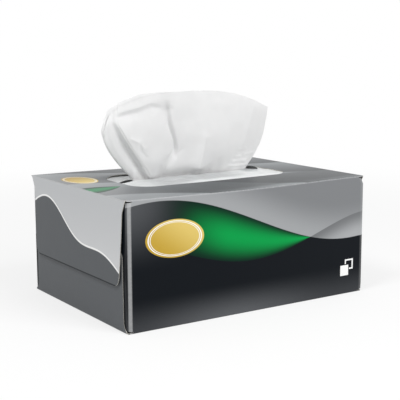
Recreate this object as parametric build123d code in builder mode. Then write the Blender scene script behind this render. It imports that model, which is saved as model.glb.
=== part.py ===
"""Pop-up tissue box: a folded and glued paperboard carton, its slit film, the pile of tissues
and the one sheet that stands up out of the slit. Millimetres, +Z up, origin under the middle of the base,
X along the length, front panel facing -Y."""

import os

from build123d import *

# Carton, measured over its outside
LENGTH = 189.0
WIDTH = 134.0
HEIGHT = 82.0
BOARD = 0.45
FOLD_RADIUS = 0.9
DUST_FOLD_RADIUS = 3.0
GLUE_GAP = 0.15
CORNER_RELIEF = 0.5

# Flaps, measured from the fold they hang on
UPPER_FLAP = 54.0
UPPER_FLAP_TAPER = 7.0
UPPER_SHOULDER_INSET = 3.5
UPPER_SHOULDER_DEPTH = 7.0
UPPER_FLAP_CORNER = 6.0
LOWER_FLAP = 50.0
LOWER_FLAP_TAPER = 4.5
LOWER_SHOULDER_INSET = 3.6
LOWER_SHOULDER_DEPTH = 3.6
LOWER_FLAP_CORNER = 4.0
DUST_FLAP = 45.0
DUST_FLAP_TAPER = 4.0
DUST_FLAP_CORNER = 5.0
SEAM_FLAP = 16.0
BACK_EDGE_LIFT = 0.3

# Dispensing mouth and the slit film glued under it
MOUTH_LENGTH = 124.0
MOUTH_WIDTH = 54.0
MOUTH_CORNER = 14.0
FILM = 0.1
FILM_BORDER = 12.0
FILM_CORNER = 5.0
SLIT_END_MARGIN = 4.0
SLIT_GAP = 6.0

# Pile of tissues and the room left around it
STACK_END_GAP = 1.8
STACK_SIDE_GAP = 3.0
STACK_HEADROOM = 2.5
STACK_EDGE_RADIUS = 2.0

# Sheet that stands up out of the slit
SHEET = 0.8
SHEET_SLIT_CLEARANCE = 0.3
SHEET_RISE = 58.0
SHEET_LEFT_INSET = 8.0
SHEET_RIGHT_INSET = 16.0
SHEET_LEFT_REACH = 73.0
SHEET_LEFT_SHOULDER = 32.0
SHEET_RIGHT_REACH = 61.0
SHEET_RIGHT_SHOULDER = 44.0
SHEET_CROWN_OFFSET = -8.0
SHEET_FOOT_SPREAD = 1.0
SHEET_TOP_SPREAD = 4.0
SHEET_TRIM_MARGIN = 4.0
SHEET_WAVES = 2
SHEET_POINTS = 17

# Beads and strips of glue
BEAD_LENGTH = 22.0
BEAD_WIDTH = 4.0
BEAD_EDGE_MARGIN = 8.0
SEAM_STRIP_WIDTH = 8.0
SEAM_STRIP_END_MARGIN = 6.0

# Each end flap lies one board and one glue film inside the next
LAP = BOARD + GLUE_GAP
UPPER_FACE = LENGTH / 2
LOWER_FACE = UPPER_FACE - LAP
DUST_FACE = LOWER_FACE - LAP
FLAP_START = FOLD_RADIUS + CORNER_RELIEF
DUST_START = DUST_FOLD_RADIUS + CORNER_RELIEF
TUBE_END = DUST_FACE - DUST_START
UPPER_ROOT_HALF = WIDTH / 2 - FOLD_RADIUS
LOWER_ROOT_HALF = UPPER_ROOT_HALF - LAP
DUST_ROOT_LOW = FLAP_START
DUST_ROOT_HIGH = HEIGHT - FLAP_START

FILM_TOP = HEIGHT - BOARD
SLIT_LENGTH = MOUTH_LENGTH - 2 * SLIT_END_MARGIN
STACK_BASE = BOARD
STACK_TOP = FILM_TOP - FILM - STACK_HEADROOM
STACK_HALF_LENGTH = DUST_FACE - BOARD - STACK_END_GAP
STACK_FRONT = -(WIDTH / 2 - BOARD - STACK_SIDE_GAP)
STACK_BACK = WIDTH / 2 - LAP - BOARD - STACK_SIDE_GAP

SHEET_TOP = HEIGHT + SHEET_RISE
SHEET_FOOT_LEFT = SLIT_LENGTH / 2 - SHEET_LEFT_INSET
SHEET_FOOT_RIGHT = SLIT_LENGTH / 2 - SHEET_RIGHT_INSET

os.makedirs("parts", exist_ok=True)


def bent_board(plane: Plane, outside: list[tuple[float, float]], radius: float) -> Sketch:
    """Section of a board bent round the corners of its outer face, which run with the board on their right."""
    runs = [(Vector(*end) - Vector(*start)).normalized() for start, end in zip(outside, outside[1:])]
    inward = [Vector(run.Y, -run.X) * BOARD for run in runs]
    shifts = [inward[0], *(one + other for one, other in zip(inward, inward[1:])), inward[-1]]
    inside = [Vector(*corner) + shift for corner, shift in zip(outside, shifts)]
    with BuildSketch(plane) as section:
        with BuildLine():
            FilletPolyline(*outside, radius=radius)
            FilletPolyline(*inside, radius=radius - BOARD)
            Line(outside[0], inside[0])
            Line(outside[-1], inside[-1])
        make_face()
    return section.sketch


# Carton: half of the wrapped tube first, then its end's flaps, then the other half as its mirror image
with BuildPart() as carton:
    # Section across the length: seam flap, bottom, front, top and back as one bent board
    wrap = [
        (WIDTH / 2 - LAP, SEAM_FLAP),
        (WIDTH / 2 - LAP, 0),
        (-WIDTH / 2, 0),
        (-WIDTH / 2, HEIGHT),
        (WIDTH / 2, HEIGHT),
        (WIDTH / 2, BACK_EDGE_LIFT),
    ]
    extrude(bent_board(Plane.YZ, wrap, FOLD_RADIUS), amount=DUST_FACE)

    # The side panels stop short, where their own softer folds begin
    with BuildSketch(Plane.XZ):
        with Locations(((TUBE_END + DUST_FACE) / 2, HEIGHT / 2)):
            Rectangle(DUST_FACE - TUBE_END, HEIGHT - 2 * FOLD_RADIUS)
    extrude(amount=WIDTH, both=True, mode=Mode.SUBTRACT)

    # Fold of the top panel down into the upper flap
    top_fold = [(TUBE_END, HEIGHT), (UPPER_FACE, HEIGHT), (UPPER_FACE, HEIGHT - FLAP_START)]
    extrude(bent_board(Plane.XZ, top_fold, FOLD_RADIUS), amount=UPPER_ROOT_HALF, both=True)

    # Upper flap, the outermost layer
    with BuildSketch(Plane.YZ.offset(UPPER_FACE)) as upper_flap:
        with BuildLine():
            Polyline(
                (-UPPER_ROOT_HALF, HEIGHT - FLAP_START),
                (UPPER_ROOT_HALF, HEIGHT - FLAP_START),
                (UPPER_ROOT_HALF - UPPER_SHOULDER_INSET, HEIGHT - UPPER_SHOULDER_DEPTH),
                (UPPER_ROOT_HALF - UPPER_FLAP_TAPER, HEIGHT - UPPER_FLAP),
                (UPPER_FLAP_TAPER - UPPER_ROOT_HALF, HEIGHT - UPPER_FLAP),
                (UPPER_SHOULDER_INSET - UPPER_ROOT_HALF, HEIGHT - UPPER_SHOULDER_DEPTH),
                close=True,
            )
        make_face()
        fillet(upper_flap.vertices().group_by(Axis.Y)[0], radius=UPPER_FLAP_CORNER)
    extrude(amount=-BOARD)

    # Fold of the bottom panel up into the lower flap
    bottom_fold = [(LOWER_FACE, FLAP_START), (LOWER_FACE, 0), (TUBE_END, 0)]
    extrude(bent_board(Plane.XZ, bottom_fold, FOLD_RADIUS), amount=LOWER_ROOT_HALF, both=True)

    # Lower flap, under the upper one
    with BuildSketch(Plane.YZ.offset(LOWER_FACE)) as lower_flap:
        with BuildLine():
            Polyline(
                (-LOWER_ROOT_HALF, FLAP_START),
                (LOWER_ROOT_HALF, FLAP_START),
                (LOWER_ROOT_HALF - LOWER_SHOULDER_INSET, LOWER_SHOULDER_DEPTH),
                (LOWER_ROOT_HALF - LOWER_FLAP_TAPER, LOWER_FLAP),
                (LOWER_FLAP_TAPER - LOWER_ROOT_HALF, LOWER_FLAP),
                (LOWER_SHOULDER_INSET - LOWER_ROOT_HALF, LOWER_SHOULDER_DEPTH),
                close=True,
            )
        make_face()
        fillet(lower_flap.vertices().group_by(Axis.Y)[-1], radius=LOWER_FLAP_CORNER)
    extrude(amount=-BOARD)

    # Folds of the front and back panels inward into the dust flaps
    dust_fold = [(DUST_FACE, DUST_START - WIDTH / 2), (DUST_FACE, -WIDTH / 2), (TUBE_END, -WIDTH / 2)]
    front_fold = bent_board(Plane.XY.offset(DUST_ROOT_LOW), dust_fold, DUST_FOLD_RADIUS)
    extrude(front_fold, amount=DUST_ROOT_HIGH - DUST_ROOT_LOW)
    extrude(mirror(front_fold, about=Plane.XZ, mode=Mode.PRIVATE), amount=DUST_ROOT_HIGH - DUST_ROOT_LOW)

    # Dust flaps, the innermost layer
    with BuildSketch(Plane.YZ.offset(DUST_FACE)) as dust_flaps:
        with BuildLine():
            Polyline(
                (DUST_START - WIDTH / 2, DUST_ROOT_LOW),
                (DUST_FLAP - WIDTH / 2, DUST_ROOT_LOW + DUST_FLAP_TAPER),
                (DUST_FLAP - WIDTH / 2, DUST_ROOT_HIGH - DUST_FLAP_TAPER),
                (DUST_START - WIDTH / 2, DUST_ROOT_HIGH),
                close=True,
            )
        make_face()
        fillet(dust_flaps.vertices().group_by(Axis.X)[-1], radius=DUST_FLAP_CORNER)
        mirror(about=Plane.YZ)
    extrude(amount=-BOARD)

    mirror(about=Plane.YZ)

    # Dispensing mouth through the top panel
    with BuildSketch(Plane.XY.offset(HEIGHT)):
        RectangleRounded(MOUTH_LENGTH, MOUTH_WIDTH, MOUTH_CORNER)
    extrude(amount=-BOARD, mode=Mode.SUBTRACT)
carton.part.label = "carton"
export_step(carton.part, "parts/carton.step")

# Hot-melt beads: lower flap to dust flaps, upper flap to lower flap, upper flap to dust flaps
BEAD_LOW = LOWER_FLAP / 2
BEAD_LAP = (HEIGHT - UPPER_FLAP + LOWER_FLAP) / 2
BEAD_HIGH = (LOWER_FLAP + HEIGHT) / 2
BEAD_CENTRE = UPPER_ROOT_HALF - UPPER_FLAP_TAPER - BEAD_EDGE_MARGIN - BEAD_LENGTH / 2
with BuildPart() as end_glue:
    with BuildSketch(Plane.YZ.offset(DUST_FACE)):
        with Locations((-BEAD_CENTRE, BEAD_LOW), (BEAD_CENTRE, BEAD_LOW)):
            Rectangle(BEAD_LENGTH, BEAD_WIDTH)
    extrude(amount=GLUE_GAP)
    with BuildSketch(Plane.YZ.offset(LOWER_FACE)):
        with Locations((-BEAD_CENTRE, BEAD_LAP), (BEAD_CENTRE, BEAD_LAP)):
            Rectangle(BEAD_LENGTH, BEAD_WIDTH)
    extrude(amount=GLUE_GAP)
    with BuildSketch(Plane.YZ.offset(DUST_FACE)):
        with Locations((-BEAD_CENTRE, BEAD_HIGH), (BEAD_CENTRE, BEAD_HIGH)):
            Rectangle(BEAD_LENGTH, BEAD_WIDTH)
    extrude(amount=LAP + GLUE_GAP)
    mirror(about=Plane.YZ)
end_glue.part.label = "end_glue"
export_step(end_glue.part, "parts/end_glue.step")

# Strip of glue between the seam flap and the back panel
with BuildPart() as seam_glue:
    with BuildSketch(Plane.XZ.offset(-(WIDTH / 2 - LAP))):
        with Locations((0, SEAM_FLAP / 2)):
            Rectangle(2 * (TUBE_END - SEAM_STRIP_END_MARGIN), SEAM_STRIP_WIDTH)
    extrude(amount=-GLUE_GAP)
seam_glue.part.label = "seam_glue"
export_step(seam_glue.part, "parts/seam_glue.step")

# Film glued to the underside of the top panel, its slit held open by the sheet
with BuildPart() as slit_film:
    with BuildSketch(Plane.XY.offset(FILM_TOP)):
        RectangleRounded(MOUTH_LENGTH + 2 * FILM_BORDER, MOUTH_WIDTH + 2 * FILM_BORDER, FILM_CORNER)
        with BuildLine():
            ThreePointArc((-SLIT_LENGTH / 2, 0), (0, SLIT_GAP / 2), (SLIT_LENGTH / 2, 0))
            ThreePointArc((-SLIT_LENGTH / 2, 0), (0, -SLIT_GAP / 2), (SLIT_LENGTH / 2, 0))
        make_face(mode=Mode.SUBTRACT)
    extrude(amount=-FILM)
slit_film.part.label = "slit_film"
export_step(slit_film.part, "parts/slit_film.step")

# Pile of interfolded tissues, with the folded edges along the front and the back
with BuildPart() as tissue_stack:
    with BuildSketch(Plane.YZ) as stack_section:
        with Locations(((STACK_FRONT + STACK_BACK) / 2, (STACK_BASE + STACK_TOP) / 2)):
            Rectangle(STACK_BACK - STACK_FRONT, STACK_TOP - STACK_BASE)
        fillet(stack_section.vertices(), radius=STACK_EDGE_RADIUS)
    extrude(amount=STACK_HALF_LENGTH, both=True)
tissue_stack.part.label = "tissue_stack"
export_step(tissue_stack.part, "parts/tissue_stack.step")


def slit_half_gap(x: float) -> float:
    """Half the width of the open slit at a place along its length."""
    return SLIT_GAP / 2 * (1 - (2 * x / SLIT_LENGTH) ** 2)


def sheet_line(left: float, right: float, spread: float) -> list[tuple[float, float]]:
    """Middle line of the standing sheet across one level: waves as deep as the slit, times the spread."""
    foot_span = SHEET_FOOT_LEFT + SHEET_FOOT_RIGHT
    line = []
    for index in range(SHEET_POINTS):
        share = index / (SHEET_POINTS - 1)
        room = slit_half_gap(foot_span * share - SHEET_FOOT_LEFT) - SHEET_SLIT_CLEARANCE - SHEET / 2
        wave = Vector(1, 0).rotate(Axis.Z, 360 * SHEET_WAVES * share).Y
        line.append((left + (right - left) * share, spread * room * wave))
    return line


# Sheet gathered in the slit and fanned out above it: levels from the pile to the crown, then its outline
SHEET_LEVELS = (
    (STACK_TOP, SHEET_FOOT_LEFT, SHEET_FOOT_RIGHT, SHEET_FOOT_SPREAD),
    (HEIGHT, SHEET_FOOT_LEFT, SHEET_FOOT_RIGHT, SHEET_FOOT_SPREAD),
    (
        HEIGHT + SHEET_LEFT_SHOULDER,
        SHEET_LEFT_REACH + SHEET_TRIM_MARGIN,
        SHEET_RIGHT_REACH + SHEET_TRIM_MARGIN,
        SHEET_TOP_SPREAD,
    ),
    (
        SHEET_TOP + SHEET_TRIM_MARGIN,
        SHEET_LEFT_REACH + SHEET_TRIM_MARGIN,
        SHEET_RIGHT_REACH + SHEET_TRIM_MARGIN,
        SHEET_TOP_SPREAD,
    ),
)
with BuildPart() as raised_tissue:
    for level, left_reach, right_reach, spread in SHEET_LEVELS:
        middle = sheet_line(-left_reach, right_reach, spread)
        front = [(x, y - SHEET / 2) for x, y in middle]
        back = [(x, y + SHEET / 2) for x, y in middle]
        with BuildSketch(Plane.XY.offset(level)):
            with BuildLine():
                Spline(*front)
                Line(front[-1], back[-1])
                Spline(*back)
                Line(back[0], front[0])
            make_face()
    loft(ruled=True)
    with BuildSketch(Plane.XZ):
        with BuildLine():
            Polyline(
                (-SHEET_LEFT_REACH, HEIGHT + SHEET_LEFT_SHOULDER),
                (-SHEET_FOOT_LEFT, HEIGHT),
                (-SHEET_FOOT_LEFT, STACK_TOP),
                (SHEET_FOOT_RIGHT, STACK_TOP),
                (SHEET_FOOT_RIGHT, HEIGHT),
                (SHEET_RIGHT_REACH, HEIGHT + SHEET_RIGHT_SHOULDER),
            )
            ThreePointArc(
                (-SHEET_LEFT_REACH, HEIGHT + SHEET_LEFT_SHOULDER),
                (SHEET_CROWN_OFFSET, SHEET_TOP),
                (SHEET_RIGHT_REACH, HEIGHT + SHEET_RIGHT_SHOULDER),
            )
        make_face()
    extrude(amount=SHEET_TOP_SPREAD * SLIT_GAP, both=True, mode=Mode.INTERSECT)
raised_tissue.part.label = "raised_tissue"
export_step(raised_tissue.part, "parts/raised_tissue.step")
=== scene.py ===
"""Pop-up tissue box dressed over its CAD frame: folded carton, slit film, pile of tissues and raised sheet.

The scene is in metres. The sizes held by the classes are millimetres and go through MM on their way in.
"""

import logging
import math
from bisect import bisect_right
from dataclasses import dataclass, field
from enum import Enum
from typing import Any, Dict, List, Mapping, Optional, Sequence, Tuple, Union

import bpy
import numpy as np
from mathutils import Matrix, Vector, noise
from mathutils.geometry import delaunay_2d_cdt


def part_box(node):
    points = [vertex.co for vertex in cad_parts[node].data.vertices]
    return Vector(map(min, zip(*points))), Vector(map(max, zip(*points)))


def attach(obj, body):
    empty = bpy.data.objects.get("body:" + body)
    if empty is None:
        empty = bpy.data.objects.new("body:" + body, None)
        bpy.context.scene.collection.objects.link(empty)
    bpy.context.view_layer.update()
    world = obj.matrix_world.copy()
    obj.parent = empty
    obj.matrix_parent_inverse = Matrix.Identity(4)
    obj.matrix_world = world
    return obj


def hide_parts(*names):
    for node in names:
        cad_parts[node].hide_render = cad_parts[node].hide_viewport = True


LOG = logging.getLogger("tissue_box")
MM = 0.001
BODY = "root"
PHOTO_EYE = (-368.966, -563.900, 176.735)
WHITE = (1.0, 1.0, 1.0, 1.0)

Pair = Tuple[float, float]
Triple = Tuple[float, float, float]
Colour = Tuple[float, float, float, float]
Face = Tuple[int, ...]
Shares = Union[float, np.ndarray]

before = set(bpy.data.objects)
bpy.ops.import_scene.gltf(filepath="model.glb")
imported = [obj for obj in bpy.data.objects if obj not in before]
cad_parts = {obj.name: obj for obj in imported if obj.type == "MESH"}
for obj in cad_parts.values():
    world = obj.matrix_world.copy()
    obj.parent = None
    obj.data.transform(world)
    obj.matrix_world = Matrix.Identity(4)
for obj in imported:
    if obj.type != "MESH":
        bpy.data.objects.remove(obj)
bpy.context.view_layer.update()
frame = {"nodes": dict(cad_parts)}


def linear(byte: int) -> float:
    """Linear share of one byte of a colour code.

    Args:
        byte: one byte of the code.

    Returns:
        Its share of full light.
    """
    share = byte / 255
    if share <= 0.04045:
        return share / 12.92
    return ((share + 0.055) / 1.055) ** 2.4


def ink(code: str) -> Colour:
    """Linear colour of a hex code such as 1C2128."""
    red, green, blue = (linear(int(code[place : place + 2], 16)) for place in (0, 2, 4))
    return (red, green, blue, 1.0)


def smooth(share: Shares) -> Shares:
    """Smooth step of a share from 0 to 1, or of an array of them."""
    return share * share * (3 - 2 * share)


def ease(value: float, low: float, high: float) -> float:
    """Smooth step of a number from 0 at low to 1 at high."""
    return smooth(min(1.0, max(0.0, (value - low) / (high - low))))


class Signal:
    """Socket of a node tree that takes part in Python expressions."""

    def __init__(self, recipe: "Recipe", socket: bpy.types.NodeSocket) -> None:
        """Keep the socket and the recipe that owns it."""
        self.recipe = recipe
        self.socket = socket

    def _math(self, operation: str, *operands: "Operand") -> "Signal":
        """Math node of the given operation on the operands in order."""
        sockets = dict(enumerate(operands))
        return self.recipe.signal("ShaderNodeMath", {"operation": operation}, sockets)

    def __add__(self, other: "Operand") -> "Signal":
        """Sum of the two."""
        return self._math("ADD", self, other)

    def __radd__(self, other: "Operand") -> "Signal":
        """Sum of the two."""
        return self._math("ADD", other, self)

    def __sub__(self, other: "Operand") -> "Signal":
        """This less the other."""
        return self._math("SUBTRACT", self, other)

    def __rsub__(self, other: "Operand") -> "Signal":
        """The other less this."""
        return self._math("SUBTRACT", other, self)

    def __mul__(self, other: "Operand") -> "Signal":
        """Product of the two."""
        return self._math("MULTIPLY", self, other)

    def __rmul__(self, other: "Operand") -> "Signal":
        """Product of the two."""
        return self._math("MULTIPLY", other, self)

    def __truediv__(self, other: "Operand") -> "Signal":
        """This over the other."""
        return self._math("DIVIDE", self, other)

    def __rtruediv__(self, other: "Operand") -> "Signal":
        """The other over this."""
        return self._math("DIVIDE", other, self)

    def __neg__(self) -> "Signal":
        """This with its sign turned."""
        return self._math("MULTIPLY", self, -1.0)

    def __abs__(self) -> "Signal":
        """This without its sign."""
        return self._math("ABSOLUTE", self)

    def __pow__(self, power: "Operand") -> "Signal":
        """This raised to a power."""
        return self._math("POWER", self, power)

    def sine(self) -> "Signal":
        """Sine of this, in radians."""
        return self._math("SINE", self)

    def fraction(self) -> "Signal":
        """Part of this past its whole number."""
        return self._math("FRACT", self)

    def least(self, other: "Operand") -> "Signal":
        """The smaller of the two."""
        return self._math("MINIMUM", self, other)

    def most(self, other: "Operand") -> "Signal":
        """The larger of the two."""
        return self._math("MAXIMUM", self, other)

    def over(self, low: float, high: float) -> "Signal":
        """Smooth step of this from 0 at low to 1 at high."""
        sockets = {0: self, 1: low, 2: high, 3: 0.0, 4: 1.0}
        return self.recipe.signal("ShaderNodeMapRange", {"interpolation_type": "SMOOTHSTEP"}, sockets)

    def between(self, low: float, high: float, soft: float) -> "Signal":
        """1 from low to high, with edges as wide as soft."""
        return self.over(low - soft, low) * (1 - self.over(high, high + soft))


Operand = Union[Signal, float]


class Recipe:
    """Node tree of one material, or of the world, and the ways to add to it."""

    def __init__(self, name: str, owner: Optional[bpy.types.ID] = None) -> None:
        """Start an empty tree.

        Args:
            name: name of the new material, if there is no owner.
            owner: material or world whose tree is filled instead.
        """
        self.owner = owner or bpy.data.materials.new(name)
        self.owner.use_nodes = True
        self.tree = self.owner.node_tree
        self.tree.nodes.clear()

    def node(
        self,
        kind: str,
        settings: Optional[Mapping[str, Any]] = None,
        sockets: Optional[Mapping[Union[int, str], Any]] = None,
    ) -> bpy.types.Node:
        """Add a node.

        Args:
            kind: node type as Blender names it.
            settings: properties, which are set first.
            sockets: value or signal for each input, by name or index.

        Returns:
            The new node.
        """
        made = self.tree.nodes.new(kind)
        for name, value in (settings or {}).items():
            setattr(made, name, value)
        for key, value in (sockets or {}).items():
            if isinstance(value, Signal):
                self.tree.links.new(value.socket, made.inputs[key])
            else:
                made.inputs[key].default_value = value
        return made

    def signal(
        self,
        kind: str,
        settings: Optional[Mapping[str, Any]] = None,
        sockets: Optional[Mapping[Union[int, str], Any]] = None,
        output: Union[int, str] = 0,
    ) -> Signal:
        """Add a node and return one of its outputs as a signal."""
        return Signal(self, self.node(kind, settings, sockets).outputs[output])

    def mix(self, share: Operand, under: Union[Signal, Colour], top: Union[Signal, Colour]) -> Signal:
        """Colour that goes from under to top as share goes from 0 to 1."""
        sockets = {0: share, 6: under, 7: top}
        return self.signal("ShaderNodeMix", {"data_type": "RGBA"}, sockets, 2)

    def split(self, vector: Signal) -> Tuple[Signal, Signal, Signal]:
        """The three numbers of a vector."""
        parts = self.node("ShaderNodeSeparateXYZ", None, {0: vector})
        return tuple(Signal(self, parts.outputs[place]) for place in range(3))

    def stretch(self, vector: Signal, factors: Triple) -> Signal:
        """Vector scaled along its three axes."""
        return self.signal("ShaderNodeVectorMath", {"operation": "MULTIPLY"}, {0: vector, 1: factors})

    def grain(self, vector: Signal, scale: float, detail: float = 3.0, roughness: float = 0.5) -> Signal:
        """Fractal noise about 0.5."""
        sockets = {"Vector": vector, "Scale": scale, "Detail": detail, "Roughness": roughness}
        return self.signal("ShaderNodeTexNoise", None, sockets)

    def place(self) -> Signal:
        """Object coordinates, in metres."""
        return self.signal("ShaderNodeTexCoord", None, None, "Object")

    def bump(self, height: Signal, distance: float, strength: float = 1.0) -> Signal:
        """Normal bent by a height between 0 and 1 that stands for a distance in metres."""
        sockets = {"Strength": strength, "Distance": distance, "Height": height}
        return self.signal("ShaderNodeBump", None, sockets)

    def principled(self, sockets: Mapping[str, Any]) -> Signal:
        """Principled shader with the given inputs."""
        return self.signal("ShaderNodeBsdfPrincipled", None, sockets)

    def blend(self, share: Operand, under: Signal, top: Signal) -> Signal:
        """Shader that goes from under to top as share goes from 0 to 1."""
        return self.signal("ShaderNodeMixShader", None, {0: share, 1: under, 2: top})

    def finish(self, shader: Signal) -> bpy.types.ID:
        """Send a shader to the output and return the owner.

        Args:
            shader: the shader.

        Returns:
            The material or world that owns the tree.
        """
        owner = "World" if isinstance(self.owner, bpy.types.World) else "Material"
        self.node(f"ShaderNodeOutput{owner}", None, {"Surface": shader})
        return self.owner


@dataclass(frozen=True)
class Wave:
    """Sine line of the print: its middle level, its swing, a crossing of that level, and its half length."""

    level: float
    swing: float
    crossing: float
    half: float

    def at(self, run: Signal) -> Signal:
        """The line's level at a place along it."""
        return self.level + self.swing * ((run - self.crossing) * (math.pi / self.half)).sine()


@dataclass(frozen=True)
class Oval:
    """Place of a label: its middle and its half sizes, along the panel and across it."""

    middle: Pair
    half: Pair


@dataclass(frozen=True)
class PrintedBoard:
    """Charcoal board printed with silver waves, an emerald ribbon and a gold label, under a satin varnish.

    The print is laid out on the flat blank: along the length, and round the wrap from the front top fold.
    """

    length: float = 189.0
    width: float = 134.0
    height: float = 82.0
    charcoal: str = "0A0F15"
    ash: str = "5E6063"
    silver: str = "9C9EA0"
    pale_silver: str = "C6C7C9"
    emerald: str = "009645"
    deep_emerald: str = "04261A"
    gold: str = "BC9A38"
    pale_gold: str = "D9BF6C"
    white: str = "F2F2F1"
    crack_and_highlight: str = "B9BABB"
    lap_shade: str = "707274"
    lap_light: str = "A3A5A7"
    top_shade: str = "3A3E41"
    top_light: str = "858A8D"
    top_dip: str = "2C3033"
    leaf_green: str = "0E7A48"
    end_silver: str = "BFC1C3"
    end_pale: str = "D0D1D2"
    end_grey: str = "575A5D"
    low_grey: str = "5A5D60"
    roughness: float = 0.34
    upper_wave: Wave = Wave(22, 20, 5, 150)
    lower_wave: Wave = Wave(35, 12, -58, 112)
    brim_wave: Wave = Wave(31, 15, 8, 118)
    brim_ripple: Wave = Wave(0, 5, -20, 41)
    front_label: Oval = Oval((-60, 26), (21, 12))
    top_label: Oval = Oval((-78, 92), (11, 17))
    stamp: Pair = (80, 63)
    stamp_half: float = 5.6

    def make(self) -> bpy.types.Material:
        """The outside of the carton as a material.

        Returns:
            The material.
        """
        recipe = Recipe("printed_board")
        blank = recipe.signal("ShaderNodeAttribute", {"attribute_name": "blank"}, None, "Vector")
        along, around, _ = recipe.split(blank)
        behind = (-self.width - around).over(-0.05, 0.05)
        down = around.most(-self.width - around)
        run = along * (1 - 2 * behind)
        out = abs(along) - self.length / 2

        colour = self._sides(recipe, run, down)
        top = self._top(recipe, along, -around)
        colour = recipe.mix(down.over(-0.3, 0.3), top, colour)
        under = recipe.mix((around - self.height).over(-0.2, 0.2), colour, ink(self.ash))
        colour = recipe.mix(out.over(-0.4, 0.0), under, self._ends(recipe, along, around, out))
        # Ink cracked white along the folds, plus painted highlights on the fold edges and on the front's
        # corner folds.
        wear_and_highlight = self._wear_and_highlight(recipe, blank, out)
        colour = recipe.mix(wear_and_highlight, colour, ink(self.crack_and_highlight))

        fibre = recipe.grain(blank, 1.6, 4.0, 0.6)
        ripple = recipe.grain(blank, 0.07, 2.0)
        rough = self.roughness + 0.1 * (fibre - 0.5) + 0.2 * wear_and_highlight
        relief = recipe.bump(fibre * 0.5 + ripple * 2.0, 0.00006)
        shader = recipe.principled(
            {"Base Color": colour, "Roughness": rough, "Normal": relief, "Specular IOR Level": 0.09}
        )
        return recipe.finish(shader)

    def _sides(self, recipe: Recipe, run: Signal, down: Signal) -> Signal:
        """Front and back print.

        Args:
            recipe: tree to add to.
            run: place along the panel, from its middle to the reader's right.
            down: depth below the panel's top fold.

        Returns:
            The panel's colour.
        """
        upper = self.upper_wave.at(run)
        lower = self.lower_wave.at(run)
        below_upper = (down - upper).over(-0.2, 0.2)
        below_lower = (down - lower).over(-0.2, 0.2)
        light_foot = down.over(60, 86) * (1 - 0.6 * abs(run + 15).over(0, 85))
        base = recipe.mix(light_foot, ink(self.charcoal), ink(self.ash))
        light_corner = (-run).over(40, 96) * (1 - down.over(0, 46)) * 0.7
        base = recipe.mix(light_corner, base, ink(self.ash))

        share = (down - upper) / (lower - upper).most(1.0)
        glow = (share.least(1.0).most(0.0) * math.pi).sine() ** 1.5
        emerald = recipe.mix(glow * run.over(-66, -18), ink(self.deep_emerald), ink(self.emerald))
        ribbon = below_upper * (1 - below_lower) * run.over(-78, -40)
        base = recipe.mix(ribbon, base, emerald)

        shade = (upper - down).over(0, 26)
        silver = recipe.mix(shade * 0.6, ink(self.silver), ink(self.ash))
        lap = recipe.mix((down - lower).over(0, 14), ink(self.lap_shade), ink(self.lap_light))
        silver = recipe.mix(below_lower, silver, lap)
        base = recipe.mix(1 - below_upper, base, silver)
        base = self._label(recipe, base, run, down, self.front_label)
        return self._stamped(recipe, base, run, down)

    def _label(self, recipe: Recipe, under: Signal, run: Signal, down: Signal, oval: Oval) -> Signal:
        """Bare gold oval with a pale double rim.

        Args:
            recipe: tree to add to.
            under: colour below the label.
            run: place along the panel.
            down: place across the panel.
            oval: the label's place and size.

        Returns:
            The colour with the label on it.
        """
        right = run - oval.middle[0]
        low = down - oval.middle[1]
        spread = (right / oval.half[0]) ** 2 + (low / oval.half[1]) ** 2
        sheen = (right * 0.02 - low * 0.03 + 0.5).over(0, 1)
        face = recipe.mix(sheen, ink(self.gold), ink(self.pale_gold))
        for first, last in ((0.80, 0.85), (0.70, 0.72)):
            face = recipe.mix(spread.between(first, last, 0.02), face, ink(self.white))
        return recipe.mix(1 - spread.over(0.98, 1.02), under, face)

    def _stamped(self, recipe: Recipe, under: Signal, run: Signal, down: Signal) -> Signal:
        """Small white outline of two sheets, one half behind the other.

        Args:
            recipe: tree to add to.
            under: colour below the stamp.
            run: place along the panel.
            down: place across the panel.

        Returns:
            The colour with the stamp on it.
        """
        right = run - self.stamp[0]
        low = down - self.stamp[1]
        half = self.stamp_half * 0.64
        step = self.stamp_half - half
        behind = abs(right - step).most(abs(low + step))
        front = abs(right + step).most(abs(low - step))
        back_line = behind.between(half - 0.9, half, 0.12) * front.over(half + 0.7, half + 0.8)
        front_face = 1 - front.over(half, half + 0.12)
        return recipe.mix(back_line.most(front_face), under, ink(self.white))

    def _top(self, recipe: Recipe, along: Signal, back: Signal) -> Signal:
        """Top panel: overlapping silver sheets, with a little emerald and gold at its left end.

        Args:
            recipe: tree to add to.
            along: place along the length.
            back: depth behind the front top fold.

        Returns:
            The panel's colour.
        """
        sway = (along * (1 / 38.0)).sine() * 13
        phase = (back + along * 0.42 + sway + 24) / 54
        lift = phase.fraction() ** 1.3
        silver = recipe.mix(lift, ink(self.top_shade), ink(self.top_light))
        pale = 1 - (along + back * 0.12).over(-92, -34)
        silver = recipe.mix(pale * 0.3, silver, ink(self.pale_silver))
        dip = back.between(10, 38, 8) * along.over(-62, -10)
        silver = recipe.mix(dip * 0.75, silver, ink(self.top_dip))
        tip = (along + self.length / 2) / 26
        leaf = abs(back - 46 - 6 * tip) / (11 * (1 - tip * tip).most(0.02))
        emerald = recipe.mix(leaf.over(0.1, 1.0), ink(self.leaf_green), ink(self.deep_emerald))
        shown = (1 - leaf.over(0.96, 1.02)) * (1 - tip.over(0.97, 0.99))
        silver = recipe.mix(shown, silver, emerald)
        return self._label(recipe, silver, along, back, self.top_label)

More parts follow.
